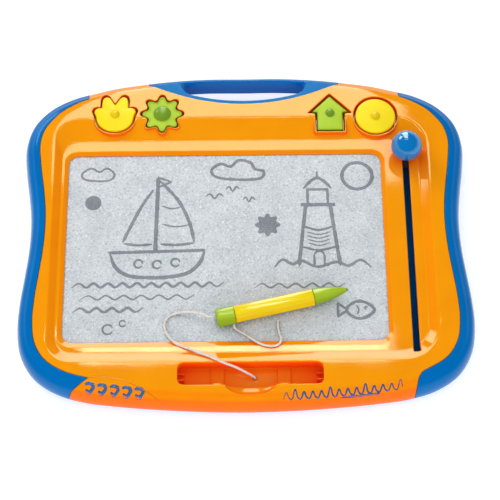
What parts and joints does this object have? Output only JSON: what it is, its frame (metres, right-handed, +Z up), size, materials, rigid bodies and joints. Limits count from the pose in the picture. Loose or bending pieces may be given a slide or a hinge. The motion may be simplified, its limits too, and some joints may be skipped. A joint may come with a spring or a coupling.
{
  "type": "magnetic drawing board",
  "caption": "Flat magnetic drawing board with a carrying handle, slide eraser, shape stamps in pockets and a pen on a cord.",
  "frame": {"origin": "under the middle of the board, on the surface it lies on", "axes": "+X to the board's right, +Y away from the child who draws on it, +Z up out of the screen"},
  "size_m": [0.4416, 0.3602, 0.0627],
  "materials": {
    "orange_plastic": "smooth gloss",
    "blue_plastic": "smooth gloss",
    "glossy_blue_plastic": "high gloss",
    "yellow_plastic": "smooth gloss",
    "green_plastic": "smooth gloss",
    "clear_film": "satin clear film",
    "powder_cells": "milky cells with magnetic powder",
    "grey_plastic": "moulded",
    "zinc_steel": "zinc plated",
    "ferrite": "rubber-bonded magnet sheet",
    "felt": "felt",
    "white_cord": "twisted cord"
  },
  "bodies": {
    "board": {"front_housing": "orange_plastic", "back_housing": "blue_plastic", "case_screw_1": "zinc_steel", "case_screw_2": "zinc_steel", "case_screw_3": "zinc_steel", "case_screw_4": "zinc_steel", "case_screw_5": "zinc_steel", "case_screw_6": "zinc_steel", "case_screw_7": "zinc_steel", "case_screw_8": "zinc_steel", "retainer_screw_1": "zinc_steel", "retainer_screw_2": "zinc_steel", "retainer_screw_3": "zinc_steel", "retainer_screw_4": "zinc_steel", "retainer_screw_5": "zinc_steel", "retainer_screw_6": "zinc_steel", "screen_front_film": "clear_film", "screen_powder_cells": "powder_cells", "screen_back_film": "clear_film", "screen_retainer": "grey_plastic", "tether_cord": "white_cord", "tether_anchor_knot": "white_cord"},
    "eraser": {"eraser_knob": "glossy_blue_plastic", "eraser_knob_screw": "zinc_steel", "eraser_carriage": "grey_plastic", "eraser_bar": "grey_plastic", "eraser_bar_screw": "zinc_steel", "eraser_magnet_strip": "ferrite", "eraser_glide_left": "felt", "eraser_glide_right": "felt"},
    "pen": {"pen_barrel": "yellow_plastic", "pen_end_cap": "green_plastic", "pen_tip_cone": "green_plastic", "pen_magnet_nib": "ferrite", "pen_cord_tail": "white_cord"},
    "paw_stamp": {"paw_stamp_body": "yellow_plastic", "paw_stamp_magnet": "ferrite"},
    "star_stamp": {"star_stamp_body": "green_plastic", "star_stamp_magnet": "ferrite"},
    "house_stamp": {"house_stamp_body": "green_plastic", "house_stamp_magnet": "ferrite"},
    "circle_stamp": {"circle_stamp_body": "yellow_plastic", "circle_stamp_magnet": "ferrite"}
  },
  "joints": [
    {"name": "eraser_slide", "type": "slide", "parent": "board", "child": "eraser", "axis": [0, -1, 0], "range_m": [0, 0.209]},
    {"name": "pen_lift", "type": "slide", "parent": "board", "child": "pen", "axis": [0, 0, 1], "range_m": [0, 0.12]},
    {"name": "paw_stamp_lift", "type": "slide", "parent": "board", "child": "paw_stamp", "axis": [0, 0, 1], "range_m": [0, 0.03]},
    {"name": "star_stamp_lift", "type": "slide", "parent": "board", "child": "star_stamp", "axis": [0, 0, 1], "range_m": [0, 0.03]},
    {"name": "house_stamp_lift", "type": "slide", "parent": "board", "child": "house_stamp", "axis": [0, 0, 1], "range_m": [0, 0.03]},
    {"name": "circle_stamp_lift", "type": "slide", "parent": "board", "child": "circle_stamp", "axis": [0, 0, 1], "range_m": [0, 0.03]}
  ]
}
